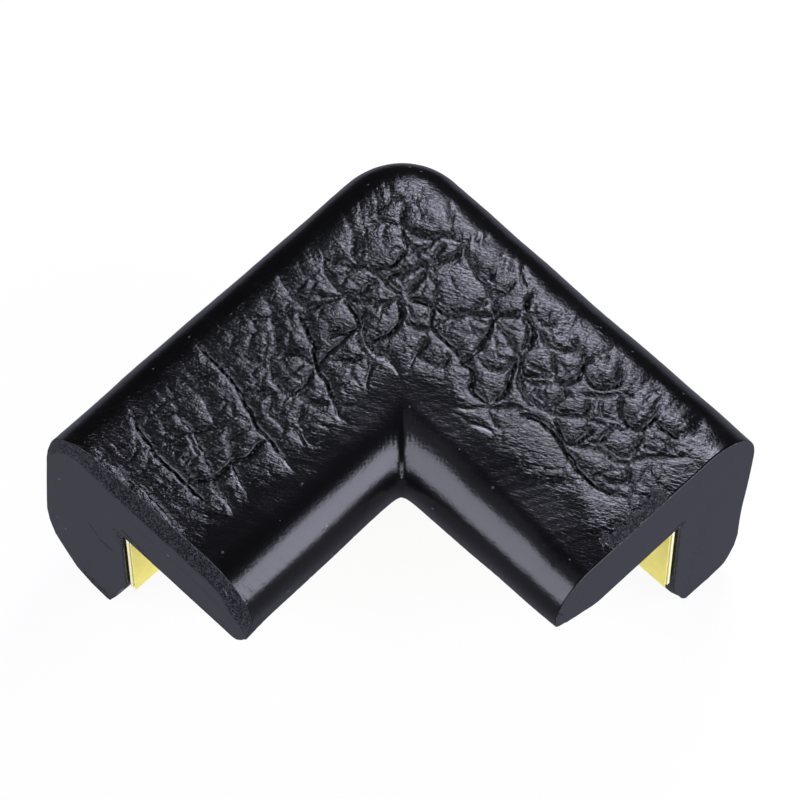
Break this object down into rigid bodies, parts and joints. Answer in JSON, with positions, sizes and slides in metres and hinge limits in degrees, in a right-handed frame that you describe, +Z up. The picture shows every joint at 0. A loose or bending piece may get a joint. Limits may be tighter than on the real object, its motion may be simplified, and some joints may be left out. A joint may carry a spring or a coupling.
{
  "type": "furniture corner protector",
  "caption": "Foam guard for a square furniture corner: a wide flange and a leg turn the corner in one moulding, with adhesive strips under yellow liners inside.",
  "frame": {"origin": "middle of the footprint, level with the bottom of the legs", "axes": "+Z up, from the feet of the legs to the flange's top; the outer corner points to -X +Y, the right arm runs along +X and the left arm along -Y"},
  "size_m": [0.06, 0.06, 0.034],
  "materials": {
    "black_foam": "satin",
    "adhesive_tape": "matte",
    "release_liner": "satin"
  },
  "bodies": {
    "root": {"foam_body": "black_foam", "leg_tape_left": "adhesive_tape", "leg_tape_right": "adhesive_tape", "flange_tape_left": "adhesive_tape", "flange_tape_right": "adhesive_tape", "leg_liner_left": "release_liner", "leg_liner_right": "release_liner", "flange_liner_left": "release_liner", "flange_liner_right": "release_liner"}
  },
  "joints": []
}
